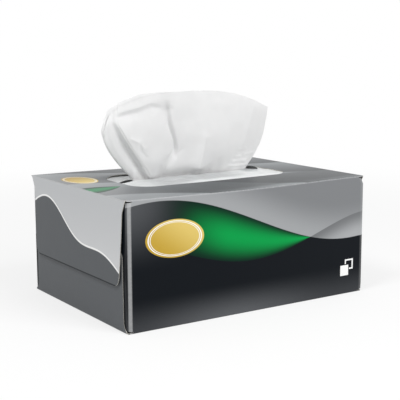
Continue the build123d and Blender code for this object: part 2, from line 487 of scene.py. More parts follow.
    def _ends(self, recipe: Recipe, along: Signal, around: Signal, out: Signal) -> Signal:
        """Flaps at both ends, with a painted shadow along the upper flap's free edge.

        Args:
            recipe: tree to add to.
            along: place along the length.
            around: place round the wrap.
            out: how far past the end's fold.

        Returns:
            The flaps' colour.
        """
        centred = -around - self.width / 2
        across = centred * along.over(-0.5, 0.5) * 2 - centred
        below = out - self.brim_wave.at(across) - self.brim_ripple.at(across)
        line = below.between(-1.1, 0.0, 0.15)
        sheen = recipe.mix(out.over(0, 60), ink(self.end_silver), ink(self.end_pale))
        flap = recipe.mix(1 - below.over(-0.15, 0.15), ink(self.end_grey), sheen)
        flap = recipe.mix(line, flap, ink(self.white))
        # Painted shadow: a dark band along the upper flap's free edge, standing for the shadow line under
        # its lifted edge.
        flap = recipe.mix(out.over(52.6, 52.9) * 0.85, flap, ink(self.charcoal))
        top = around.between(-self.width - 0.6, 0.6, 0.05)
        front = around.between(0.6, self.height - 0.6, 0.05)
        back = (-self.width - around).over(0.55, 0.65)
        # The dust flaps are charcoal: their print, and also painted shade for the recess between the upper
        # flap and the corner fold.
        low = recipe.mix(front.most(back), ink(self.low_grey), ink(self.charcoal))
        return recipe.mix(top, low, flap)

    def _wear_and_highlight(self, recipe: Recipe, blank: Signal, out: Signal) -> Signal:
        """Share of the ink lightened along the folds: cracked white ink along the wrap folds and the top
        panel's end folds, drawn as even lines that are also painted highlights on those fold edges, and a
        painted highlight strip on the front panel's rounded corner folds.

        Args:
            recipe: tree to add to.
            blank: place on the blank.
            out: how far past the end's fold.

        Returns:
            A share from 0 to 1.
        """
        along, around, _ = recipe.split(blank)
        wrap = abs(around).least(abs(around + self.width))
        flecks = recipe.grain(blank, 0.55, 4.0, 0.65)
        # Wrap folds, then the top panel's end folds: cracked ink, drawn as even lines that also serve as
        # painted highlights on these fold edges.
        cracks_and_highlights = (1 - wrap.over(0.1, 1.0)) * (0.3 + 0.35 * flecks.over(0.4, 0.7))
        crown = 1 - abs(out + 0.1).over(0.2, 0.9)
        on_top = around.between(-self.width, 0.0, 0.4)
        cracks_and_highlights = cracks_and_highlights.most(crown * on_top * flecks.over(0.2, 0.55) * 0.85)
        # Painted highlight: a light strip on the front panel's rounded corner folds, full at the left end
        # and a quarter as strong at the right.
        bend_highlight = out.between(-3.8, -2.4, 0.9) * around.between(1.5, self.height - 1.5, 3.0)
        bend_highlight = bend_highlight * (1 - 0.75 * along.over(-1, 1))
        return cracks_and_highlights.most(bend_highlight * (0.45 + 0.3 * flecks))


@dataclass(frozen=True)
class GreyBoard:
    """Unprinted inside of the board."""

    colour: str = "B4B0A7"
    fleck: str = "8F8A80"
    roughness: float = 0.85

    def make(self) -> bpy.types.Material:
        """The inside of the carton as a material.

        Returns:
            The material.
        """
        recipe = Recipe("grey_board")
        fibre = recipe.grain(recipe.place(), 900, 5.0, 0.65)
        colour = recipe.mix(fibre.over(0.35, 0.75), ink(self.colour), ink(self.fleck))
        rough = self.roughness + 0.1 * (fibre - 0.5)
        relief = recipe.bump(fibre, 0.00004)
        shader = recipe.principled({"Base Color": colour, "Roughness": rough, "Normal": relief})
        return recipe.finish(shader)


@dataclass(frozen=True)
class CutEdge:
    """Raw edge of the die-cut board."""

    colour: str = "C9C7C1"
    core: str = "9D9A92"

    def make(self) -> bpy.types.Material:
        """The board's cut edge as a material.

        Returns:
            The material.
        """
        recipe = Recipe("cut_edge")
        fibre = recipe.grain(recipe.place(), 1400, 3.0)
        colour = recipe.mix(fibre.over(0.3, 0.7), ink(self.colour), ink(self.core))
        relief = recipe.bump(fibre, 0.00003)
        shader = recipe.principled({"Base Color": colour, "Roughness": 0.9, "Normal": relief})
        return recipe.finish(shader)


@dataclass(frozen=True)
class HotMelt:
    """Waxy beads of glue."""

    colour: str = "DCCB9C"
    deep: str = "C4AC72"

    def make(self) -> bpy.types.Material:
        """The glue as a material.

        Returns:
            The material.
        """
        recipe = Recipe("hot_melt")
        swirl = recipe.grain(recipe.place(), 260, 3.0)
        colour = recipe.mix(swirl, ink(self.colour), ink(self.deep))
        rough = 0.3 + 0.25 * swirl
        relief = recipe.bump(swirl, 0.0001)
        shader = recipe.principled({"Base Color": colour, "Roughness": rough, "Normal": relief})
        return recipe.finish(shader)


@dataclass(frozen=True)
class MilkyFilm:
    """Soft, milky, half clear film, whose colour holds painted shade: a darker middle of the front lip, a
    greyer back half, and a painted shadow of the sheet by the slit's right end.
    """

    # colour is the painted shade in the front lip's middle; tip_colour is the lip's lighter ends.
    colour: str = "C6C8C9"
    tip_colour: str = "E8EAEA"
    back_shade_colour: str = "C4C7C8"
    rim_colour: str = "F2F4F4"
    sheet_shadow_colour: str = "A4A8AA"
    alpha: float = 0.84

    def make(self) -> bpy.types.Material:
        """The film as a material.

        Returns:
            The material.
        """
        recipe = Recipe("milky_film")
        where = recipe.place()
        pulled = recipe.grain(recipe.stretch(where, (1.0, 5.0, 1.0)), 70, 3.0)
        cloud = recipe.grain(where, 140, 3.0)
        along, depth, _ = recipe.split(where)
        # Painted shade: the back half is greyer, standing for the dark inside seen through the film, with
        # the film's own streaks.
        far = depth.over(-0.002, 0.008) * (1.25 - pulled)
        # Painted shade: the front lip is darker along its middle, in front of the raised sheet's foot, and
        # lighter toward its ends; the streaks are the film's own.
        middle_shade_and_streaks = along.between(-0.034, 0.012, 0.024) - 0.6 * (pulled - 0.5)
        near = recipe.mix(middle_shade_and_streaks, ink(self.tip_colour), ink(self.colour))
        colour = recipe.mix(far, near, ink(self.back_shade_colour))
        # Painted shadow: a darker patch where the raised sheet shades the film by the slit's right end.
        sheet_shadow = along.between(0.039, 0.044, 0.008) * depth.between(-0.006, 0.002, 0.006)
        colour = recipe.mix(sheet_shadow * 0.9, colour, ink(self.sheet_shadow_colour))
        rim = (1 - depth.over(-0.0215, -0.0155)) * along.over(-0.032, -0.012)
        colour = recipe.mix(rim, colour, ink(self.rim_colour))
        alpha = self.alpha + 0.2 * (cloud - 0.5)
        rough = 0.24 + 0.2 * pulled
        relief = recipe.bump(pulled, 0.0012)
        sockets = {"Base Color": colour, "Roughness": rough, "Alpha": alpha, "Normal": relief}
        return recipe.finish(recipe.principled(sockets))


@dataclass(frozen=True)
class SoftTissue:
    """Matt creped tissue that lets some light through."""

    name: str = "soft_tissue"
    colour: str = "F6F6F6"
    shade: str = "F1F1F1"
    through: float = 0.14

    def make(self) -> bpy.types.Material:
        """The tissue as a material.

        Returns:
            The material.
        """
        recipe = Recipe(self.name)
        where = recipe.place()
        fibre = recipe.grain(where, 1300, 4.0, 0.6)
        crepe = recipe.grain(recipe.stretch(where, (1.0, 1.0, 4.0)), 420, 3.0, 0.6)
        cloud = recipe.grain(where, 60, 3.0)
        colour = recipe.mix(cloud.over(0.3, 0.7), ink(self.colour), ink(self.shade))
        relief = recipe.bump(fibre * 0.35 + crepe * 0.65, 0.00012, 0.6)
        soft = {"Roughness": 0.95, "Specular IOR Level": 0.1, "Sheen Weight": 0.1}
        front = recipe.principled({"Base Color": colour, "Normal": relief, **soft})
        sockets = {"Color": ink(self.colour), "Normal": relief}
        behind = recipe.signal("ShaderNodeBsdfTranslucent", None, sockets)
        return recipe.finish(recipe.blend(self.through, front, behind))


@dataclass(frozen=True)
class StudioFloor:
    """Pale floor that is white to the eye and keeps the object's shadow."""

    colour: str = "F4F4F4"
    glow: float = 0.7
    clear_from: float = 0.22
    clear_to: float = 0.75

    def make(self) -> bpy.types.Material:
        """The floor as a material.

        Returns:
            The material.
        """
        recipe = Recipe("studio_floor")
        seen = seen_directly(recipe)
        length = {"operation": "LENGTH"}
        reach = recipe.signal("ShaderNodeVectorMath", length, {0: recipe.place()}, "Value")
        away = reach.over(self.clear_from, self.clear_to)
        lit = recipe.signal("ShaderNodeBsdfDiffuse", None, {"Color": ink(self.colour)})
        white = recipe.signal("ShaderNodeEmission", None, {"Color": WHITE, "Strength": 1.0})
        share = seen * (self.glow + (1 - self.glow) * away)
        return recipe.finish(recipe.blend(share, lit, white))


def seen_directly(recipe: Recipe) -> Signal:
    """1 for rays from the camera and for those that mirror or pass through a surface.

    Args:
        recipe: the tree that asks.

    Returns:
        1 for such rays, else 0.
    """
    rays = recipe.node("ShaderNodeLightPath").outputs
    glossy = Signal(recipe, rays["Is Glossy Ray"])
    clear = Signal(recipe, rays["Is Transmission Ray"])
    return Signal(recipe, rays["Is Camera Ray"]).most(glossy).most(clear)


class Side(Enum):
    """Material slots of a sheet that has two faces and an edge."""

    OUTER = 0
    INNER = 1
    EDGE = 2


def vertex_normals(points: np.ndarray, faces: Sequence[Sequence[int]]) -> np.ndarray:
    """Unit normals of a mesh's points, weighted by the area of the faces round them.

    Args:
        points: places, one row each.
        faces: point numbers of each face.

    Returns:
        One normal a point.
    """
    normals = np.zeros_like(points)
    for face in faces:
        first, second, last = points[face[0]], points[face[1]], points[face[-1]]
        across = np.cross(second - first, last - first)
        for index in face:
            normals[index] += across
    return normals / np.maximum(np.linalg.norm(normals, axis=1, keepdims=True), 1e-12)


def stand(name: str, data: bpy.types.ID) -> bpy.types.Object:
    """New object of the scene that holds a mesh, a light or a camera.

    Args:
        name: name of the object.
        data: what it holds.

    Returns:
        The object.
    """
    piece = bpy.data.objects.new(name, data)
    bpy.context.scene.collection.objects.link(piece)
    return piece


def round_mesh(name: str, points: np.ndarray, faces: List[Face]) -> bpy.types.Mesh:
    """Smooth-shaded mesh of points in millimetres.

    Args:
        name: name of the mesh.
        points: its points in millimetres.
        faces: its faces as rings of points.

    Returns:
        The mesh.
    """
    mesh = bpy.data.meshes.new(name)
    mesh.from_pydata((points * MM).tolist(), [], faces, shade_flat=False)
    return mesh


def closed_sheet(
    name: str,
    points: np.ndarray,
    faces: List[Face],
    thickness: float,
    normals: Optional[np.ndarray] = None,
    marks: Optional[np.ndarray] = None,
) -> bpy.types.Object:
    """Thin closed mesh with an outer face, an inner face and a cut edge.

    Args:
        name: name of the piece.
        points: outer places in millimetres.
        faces: outer faces, anticlockwise seen from outside.
        thickness: thickness in millimetres, taken inward.
        normals: outer normals, worked out from the faces if left out.
        marks: place of each point on the flat blank, kept as the attribute blank.

    Returns:
        The new object, with its slots in the order of Side.
    """
    if normals is None:
        normals = vertex_normals(points, faces)
    count = len(points)
    everywhere = np.vstack([points, points - normals * thickness])
    inner = [tuple(index + count for index in reversed(face)) for face in faces]
    used = {(face[place - 1], face[place]) for face in faces for place in range(len(face))}
    rim = [(end, start, start + count, end + count) for start, end in used if (end, start) not in used]
    mesh = round_mesh(name, everywhere, faces + inner + rim)
    slots: List[int] = []
    for side, group in zip(Side, (faces, inner, rim)):
        slots += [side.value] * len(group)
    mesh.polygons.foreach_set("material_index", slots)
    if marks is not None:
        flat = np.zeros((2 * count, 3))
        flat[:, :2] = np.vstack([marks, marks])
        mesh.attributes.new("blank", "FLOAT_VECTOR", "POINT").data.foreach_set("vector", flat.ravel())
    both = np.vstack([normals, -normals])
    corners: List[Triple] = []
    for polygon in mesh.polygons:
        edge = polygon.material_index == Side.EDGE.value
        corners += [tuple(polygon.normal) if edge else tuple(both[index]) for index in polygon.vertices]
    mesh.normals_split_custom_set(corners)
    return stand(name, mesh)


def dress(piece: bpy.types.Object, materials: Sequence[bpy.types.Material]) -> None:
    """Give a piece its materials, keeping the slot of each face.

    Args:
        piece: the piece.
        materials: its materials in slot order.
    """
    slots = [polygon.material_index for polygon in piece.data.polygons]
    piece.data.materials.clear()
    for material in materials:
        piece.data.materials.append(material)
    piece.data.polygons.foreach_set("material_index", slots)


@dataclass
class FoldedRun:
    """Outer face of a bent board seen edge on: straight runs joined by quarter-turn folds to the left.

    The outside lies on the right, and lengths run along the outer face.
    """

    corners: List[Pair]
    radius: float
    breaks: List[float] = field(init=False)

    def __post_init__(self) -> None:
        """Lay the runs and folds end to end."""
        self._parts: List[Tuple[bool, Pair, Pair]] = []
        self.breaks = [0.0]
        last = len(self.corners) - 2
        for number, (start, end) in enumerate(zip(self.corners, self.corners[1:])):
            size = math.dist(start, end)
            way = ((end[0] - start[0]) / size, (end[1] - start[1]) / size)
            skip = self.radius if number else 0.0
            trim = self.radius if number < last else 0.0
            begin = (start[0] + way[0] * skip, start[1] + way[1] * skip)
            self._parts.append((False, begin, way))
            self.breaks.append(self.breaks[-1] + size - skip - trim)
            if number < last:
                stop = (end[0] - way[0] * trim, end[1] - way[1] * trim)
                hub = (stop[0] - way[1] * self.radius, stop[1] + way[0] * self.radius)
                self._parts.append((True, hub, way))
                self.breaks.append(self.breaks[-1] + self.radius * math.pi / 2)

    def at(self, length: float) -> Tuple[float, float, float, float]:
        """Place and outward normal at a length along the board.

        Args:
            length: distance from the first corner along the outer face.

        Returns:
            The place's two numbers, then the normal's two.
        """
        part = min(max(bisect_right(self.breaks, length) - 1, 0), len(self._parts) - 1)
        bent, start, way = self._parts[part]
        rest = length - self.breaks[part]
        out = (way[1], -way[0])
        if not bent:
            return (start[0] + way[0] * rest, start[1] + way[1] * rest, out[0], out[1])
        turn = rest / self.radius
        lean = tuple(math.cos(turn) * out[axis] + math.sin(turn) * way[axis] for axis in (0, 1))
        return (start[0] + lean[0] * self.radius, start[1] + lean[1] * self.radius, lean[0], lean[1])


@dataclass(frozen=True)
class Flap:
    """End flap of one panel, by the face it folds to and its cut."""

    face: float
    radius: float
    size: float
    taper: float
    corner: float
    shoulder: Pair = (0.0, 0.0)
    shoulder_radius: float = 5.0

    @property
    def profile(self) -> FoldedRun:
        """Run out along the length, then inward down the end."""
        return FoldedRun([(0.0, 0.0), (0.0, self.face), (-self.size, self.face)], self.radius)

    @property
    def tip(self) -> float:
        """Length of the blank from the middle to the flap's free edge."""
        return self.profile.breaks[-1]


class Panel(Enum):
    """Stretches of the wrap, in order from the back panel's free edge."""

    BACK = 0
    BACK_FOLD = 1
    TOP = 2
    FRONT_FOLD = 3
    FRONT = 4
    LOW_FOLD = 5
    BOTTOM = 6
    SEAM_FOLD = 7
    SEAM = 8


def rounded_path(points: Sequence[Pair], radii: Sequence[float], steps: int = 6) -> List[Pair]:
    """Open path whose corners are rounded where their radius isn't 0.

    Args:
        points: corners of the path.
        radii: radius at each corner.
        steps: straight bits of a rounded corner.

    Returns:
        The points of the rounded path.
    """
    path: List[Pair] = []
    for number, (point, radius) in enumerate(zip(points, radii)):
        if not radius:
            path.append(point)
            continue
        here = Vector(point)
        before = (Vector(points[number - 1]) - here).normalized()
        after = (Vector(points[(number + 1) % len(points)]) - here).normalized()
        half = before.angle(after) / 2
        reach = radius / math.tan(half)
        hub = here + (before + after).normalized() * (radius / math.sin(half))
        first = here + before * reach - hub
        last = here + after * reach - hub
        for step in range(steps + 1):
            spoke = first.lerp(last, step / steps).normalized() * radius
            path.append(tuple(hub + spoke))
    return path


def inside_path(points: np.ndarray, path: np.ndarray) -> np.ndarray:
    """Which points lie inside a closed path.

    Args:
        points: places, one row each.
        path: corners of the path.

    Returns:
        True for each point inside.
    """
    within = np.zeros(len(points), dtype=bool)
    x, y = points[:, 0], points[:, 1]
    for start, end in zip(path, np.roll(path, -1, axis=0)):
        crosses = (start[1] > y) != (end[1] > y)
        rise = end[1] - start[1]
        if rise:
            within ^= crosses & (x < (end[0] - start[0]) * (y - start[1]) / rise + start[0])
    return within


def path_distance(points: np.ndarray, path: np.ndarray) -> np.ndarray:
    """How far points lie from an open path.

    Args:
        points: places, one row each.
        path: corners of the path.

    Returns:
        The distance of each point.
    """
    nearest = np.full(len(points), np.inf)
    for start, end in zip(path, path[1:]):
        way = end - start
        share = np.clip((points - start) @ way / max(way @ way, 1e-12), 0, 1)
        nearest = np.minimum(nearest, np.linalg.norm(points - start - share[:, None] * way, axis=1))
    return nearest


def path_side(points: np.ndarray, path: np.ndarray) -> Tuple[np.ndarray, np.ndarray]:
    """How far points lie to the left of an open path, and past its ends.

    Args:
        points: places, one row each.
        path: corners of the path.

    Returns:
        The distance to the left of each point, below 0 to the right, and how far it lies past either end.
    """
    nearest = np.full(len(points), np.inf)
    left, past = np.zeros(len(points)), np.zeros(len(points))
    last = len(path) - 2
    for number, (start, end) in enumerate(zip(path, path[1:])):
        size = np.linalg.norm(end - start)
        way = (end - start) / size
        rest = points - start
        run = rest @ way
        low = -np.inf if number == 0 else 0.0
        high = np.inf if number == last else size
        foot = np.clip(run, low, high)
        off = rest - foot[:, None] * way
        far = np.linalg.norm(off, axis=1)
        turn = np.where(way[0] * rest[:, 1] - way[1] * rest[:, 0] < 0, -1.0, 1.0)
        beyond = np.maximum(np.maximum(-run, run - size), 0.0)
        outside = np.where((foot < 0) | (foot > size), beyond, 0.0)
        away = np.hypot(far, outside)
        closer = away < nearest
        left = np.where(closer, far * turn, left)
        past = np.where(closer, outside, past)
        nearest = np.where(closer, away, nearest)
    return left, past


def closed(path: np.ndarray) -> np.ndarray:
    """Path with its first corner again at its end."""
    return np.vstack([path, path[:1]])


@dataclass
class Carton:
    """Carton folded from one blank: wrapped panels, seam flap and three layers of end flaps."""

    length: float = 189.0
    width: float = 134.0
    height: float = 82.0
    board: float = 0.45
    fold: float = 0.9
    lap: float = 0.6
    seam: float = 16.0
    back_lift: float = 0.3
    tube_end: float = 89.8
    dust_root: float = 1.4
    mouth: Pair = (124.0, 54.0)
    mouth_corner: float = 14.0
    pitch: float = 4.0
    bend_pitch: float = 0.4
    bend_margin: float = 0.8
    bend_steps: int = 7
    flat_lines: int = 23
    end_line: float = 92.0
    least_pitch: float = 0.12
    graded_end: float = 6.0
    edge_sag: float = 1.0
    lip_sag: float = 0.35
    lip_curl: float = 1.2
    panel_bulge: float = 0.8
    flap_lift: float = 1.2
    fold_bulge: Pair = (0.5, 2.1)
    finish: PrintedBoard = PrintedBoard()
    wrap: FoldedRun = field(init=False)
    flaps: Dict[Panel, Flap] = field(init=False)

    def __post_init__(self) -> None:
        """Work out the wrap and the flaps."""
        half = self.width / 2
        within = half - self.lap
        self.wrap = FoldedRun(
            [
                (half, self.back_lift),
                (half, self.height),
                (-half, self.height),
                (-half, 0.0),
                (within, 0.0),
                (within, self.seam),
            ],
            self.fold,
        )
        end = self.length / 2
        dust = Flap(end - 2 * self.lap, radius=3.0, size=45.0, taper=4.0, corner=5.0)
        upper = Flap(end, self.fold, size=54.0, taper=7.0, corner=6.0, shoulder=(3.5, 7.0))
        lower = Flap(end - self.lap, self.fold, size=50.0, taper=4.5, corner=4.0, shoulder=(3.6, 3.6))
        self.flaps = {Panel.BACK: dust, Panel.FRONT: dust, Panel.TOP: upper, Panel.BOTTOM: lower}
        self._profiles = {panel: flap.profile for panel, flap in self.flaps.items()}
        front_fold = Panel.FRONT_FOLD.value
        self._zero = sum(self.wrap.breaks[front_fold : front_fold + 2]) / 2

    def sag(self, x: float, y: float) -> float:
        """How far the top panel hangs below its plane at a place.

        Args:
            x: place along the length.
            y: place across the width.

        Returns:
            The distance down.
        """
        middle = math.cos(min(abs(x) / self.length, 0.5) * math.pi) ** 2
        edge = ease(abs(y), self.mouth[1] / 2, self.width / 2)
        lip = ease(abs(y), self.width / 2, self.mouth[1] / 2)
        return middle * (self.edge_sag * edge + self.lip_sag * lip)

    def curl(self, x: float, y: float) -> float:
        """How far the mouth's back edge curls up at its left end.

        Args:
            x: place along the length.
            y: place across the width.

        Returns:
            The distance up.
        """
        edge = self.mouth[1] / 2
        across = ease(y, edge - 12, edge) * (1 - ease(y, edge, edge + 18))
        return self.lip_curl * across * math.exp(-(((x + 44) / 17) ** 2))

    def folded(self, panel: Panel, x: float, around: float) -> np.ndarray:
        """Place of a point of the blank once the carton is folded.

        Args:
            panel: the stretch of the wrap that the point belongs to.
            x: place along the length on the blank.
            around: place round the wrap from the back's free edge.

        Returns:
            The place in millimetres.
        """
        y, z, ny, nz = self.wrap.at(around)
        side = math.copysign(1.0, x)
        depth, along = 0.0, abs(x)
        if panel in self._profiles:
            depth, along, _, _ = self._profiles[panel].at(abs(x))
        place = np.array([side * along, y + ny * depth, z + nz * depth])
        if panel is Panel.TOP:
            place[0] += side * self.flap_lift * (max(-depth - 4, 0.0) / 50) ** 2
            place[2] += self.curl(x, y)
        elif panel in (Panel.FRONT, Panel.BACK):
            ends = ease(z, 0.4, 2.0) * (1 - ease(z, self.height - 5, self.height - 2))
            out = ease(along, self.tube_end - 2.5, self.tube_end + 1.5) * (1 - ease(-depth, 0.8, 3.2))
            place[0] += side * self.fold_bulge[int(x > 0)] * out * ends
        rise = min(max(z / self.height, 0.0), 1.0)
        if panel is not Panel.BOTTOM:
            place[2] -= self.sag(x, y) * rise**2
        if panel in (Panel.FRONT, Panel.BACK):
            middle = math.cos(min(along / self.length, 0.5) * math.pi) ** 2
            place[1] += ny * self.panel_bulge * math.sin(math.pi * rise) * middle
        return place

    def _end_outline(self) -> List[Pair]:
        """Outline of the blank at its right end, from the back's free edge to the seam flap.

        Returns:
            The points of the outline.
        """
        marks = self.wrap.breaks
        dust = self.flaps[Panel.FRONT]
        face = dust.face
        path: List[Pair] = []
        for panel in Panel:
            low, high = marks[panel.value], marks[panel.value + 1]
            if panel in (Panel.BACK, Panel.FRONT):
                lead = self.back_lift if panel is Panel.BACK else self.fold
                first = low + self.dust_root - lead
                last = high - self.dust_root + self.fold
                path += [(self.tube_end, low)]
                path += self._flap_outline(dust, self.tube_end, first, last)
                path += [(self.tube_end, high)]
            elif panel is Panel.TOP:
                path += self._flap_outline(self.flaps[panel], face, low, high)
            elif panel is Panel.BOTTOM:
                path += [(face, low)]
                path += self._flap_outline(self.flaps[panel], face, low + self.lap, high)
            elif panel is Panel.SEAM:
                path += [(self.tube_end, low), (self.tube_end, high)]
            else:
                path += [(face, low), (face, high)]
        return path

    @staticmethod
    def _flap_outline(flap: Flap, root: float, low: float, high: float) -> List[Pair]:
        """Cut of one flap.

        Args:
            flap: the flap.
            root: place along the length where its sides start.
            low: its first side, round the wrap.
            high: its last side, round the wrap.

        Returns:
            The points of its cut, corners rounded.
        """
        inset, depth = flap.shoulder
        turn = flap.profile.breaks[2]
        sides = [(root, low)]
        if inset:
            sides += [(turn, low), (turn + depth, low + inset)]
        ends = [(x, low + high - side) for x, side in reversed(sides)]
        tip = [(flap.tip, low + flap.taper), (flap.tip, high - flap.taper)]
        radii = [0.0] * (len(sides) - 1) + [flap.shoulder_radius if inset else 0.0]
        return rounded_path(sides + tip + ends, radii + [flap.corner] * 2 + radii[::-1])

    def _fine(self, path: List[Pair]) -> np.ndarray:
        """Closed path cut into bits that are short where the board bends.

        Args:
            path: corners of the path.

        Returns:
            The points of the cut path.
        """
        bits: List[np.ndarray] = []
        for start, end in zip(path, path[1:] + path[:1]):
            first, last = np.array(start), np.array(end)
            size = np.linalg.norm(last - first)
            if size < 1e-6:
                continue
            nearer, farther = sorted((abs(first[0]), abs(last[0])))
            bends = farther > self.tube_end - 0.5 and nearer < self.length / 2 + 1
            count = max(1, math.ceil(size / (self.bend_pitch if bends else self.pitch)))
            shares = np.arange(count) / count
            if bends and size > 2 * self.graded_end:
                shares = self._graded(size)
            bits.append(first + shares[:, None] * (last - first))
        return np.vstack(bits)

    def _graded(self, size: float) -> np.ndarray:
        """Shares of a long edge, close together at both of its ends.

        Args:
            size: length of the edge.

        Returns:
            The shares, from 0 up to 1.
        """
        near = np.arange(0, self.graded_end, self.bend_pitch)
        far = np.arange(self.graded_end, size - self.graded_end, self.pitch)
        return np.concatenate([near, far, size - near[:0:-1]]) / size

    def _lines(self) -> Tuple[np.ndarray, np.ndarray]:
        """Grid lines of the blank along the length and round the wrap.

        Returns:
            The lines along the length, and those round the wrap.
        """
        marks = self.wrap.breaks
        margin = self.bend_margin
        flat = list(np.linspace(0, self.tube_end - margin, self.flat_lines))
        bends: List[float] = [self.tube_end, self.end_line]
        for flap in set(self.flaps.values()):
            start, stop, tip = flap.profile.breaks[1:4]
            bends += list(np.linspace(start, stop, self.bend_steps)) + [start - margin, stop + margin]
            bends += list(np.arange(stop + 3, tip, self.pitch))
        half = np.array(sorted(set(np.round(flat + bends, 3))))
        half = half[np.insert(np.diff(half) > self.least_pitch, 0, True)]
        along = np.concatenate([-half[:0:-1], half])
        around: List[float] = []
        for panel in Panel:
            low, high = marks[panel.value], marks[panel.value + 1]
            if "FOLD" in panel.name:
                around += list(np.linspace(low, high, self.bend_steps))
            else:
                count = max(3, round((high - low) / self.pitch))
                around += list(np.linspace(low + margin, high - margin, count))
        return along, np.array(sorted(set(np.round(around, 3))))

    def _mouth_path(self) -> List[Pair]:
        """Outline of the mouth on the blank.

        Returns:
            The points of the outline.
        """
        start = Panel.TOP.value
        middle = sum(self.wrap.breaks[start : start + 2]) / 2
        x, y = self.mouth[0] / 2, self.mouth[1] / 2
        corners = [(-x, middle - y), (x, middle - y), (x, middle + y), (-x, middle + y)]
        return rounded_path(corners, [self.mouth_corner] * 4, 8)

    def build(self) -> bpy.types.Object:
        """Mesh the blank, fold it and give it the board's thickness.

        Returns:
            The carton as one closed piece.
        """
        end = self._end_outline()
        outline = self._fine(end + [(-x, around) for x, around in reversed(end)])
        mouth = self._fine(self._mouth_path())
        along, around = self._lines()
        grid = np.array([(x, s) for x in along for s in around])
        inner = inside_path(grid, outline) & ~inside_path(grid, mouth)
        grid = grid[inner]
        clear = path_distance(grid, closed(outline)) > 0.22
        grid = grid[clear & (path_distance(grid, closed(mouth)) > 1.0)]
        points = np.vstack([outline, mouth, grid])
        rings = [(0, len(outline)), (len(outline), len(outline) + len(mouth))]
        edges: List[Tuple[int, int]] = []
        for start, stop in rings:
            edges += zip(range(start, stop), [*range(start + 1, stop), start])
        cut = delaunay_2d_cdt([Vector(point) for point in points], edges, [], 0, 1e-5)
        flat, faces = np.array([tuple(point) for point in cut[0]]), cut[2]
        middles = np.array([flat[list(face)].mean(axis=0) for face in faces])
        keep = inside_path(middles, outline) & ~inside_path(middles, mouth)
        faces = [tuple(face) for face, kept in zip(faces, keep) if kept]
        used = sorted({index for face in faces for index in face})
        renumber = {old: new for new, old in enumerate(used)}
        faces = [tuple(renumber[index] for index in reversed(face)) for face in faces]
        flat = flat[used]
        places, normals = self._fold_all(flat)
        marks = np.column_stack([flat[:, 0], flat[:, 1] - self._zero])
        return closed_sheet("folded_carton", places, faces, self.board, normals, marks)

    def _fold_all(self, flat: np.ndarray) -> Tuple[np.ndarray, np.ndarray]:
        """Fold every point of the blank.

        Args:
            flat: places on the blank.

        Returns:
            The folded places and the outward normals.
        """
        step = 0.02
        marks = self.wrap.breaks
        places, normals = [], []
        for x, around in flat:
            panel = Panel(min(max(bisect_right(marks, around + 1e-6) - 1, 0), len(Panel) - 1))
            here = self.folded(panel, x, around)
            forward = self.folded(panel, x + step, around) - self.folded(panel, x - step, around)
            upward = self.folded(panel, x, around + step) - self.folded(panel, x, around - step)
            out = np.cross(upward, forward)
            places.append(here)
            normals.append(out / np.linalg.norm(out))
        return np.array(places), np.array(normals)

    def make(self) -> bpy.types.Object:
        """The dressed carton in place of its CAD node.

        Returns:
            The carton.
        """
        piece = self.build()
        dress(piece, [self.finish.make(), GreyBoard().make(), CutEdge().make()])
        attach(piece, BODY)
        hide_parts("carton")
        return piece


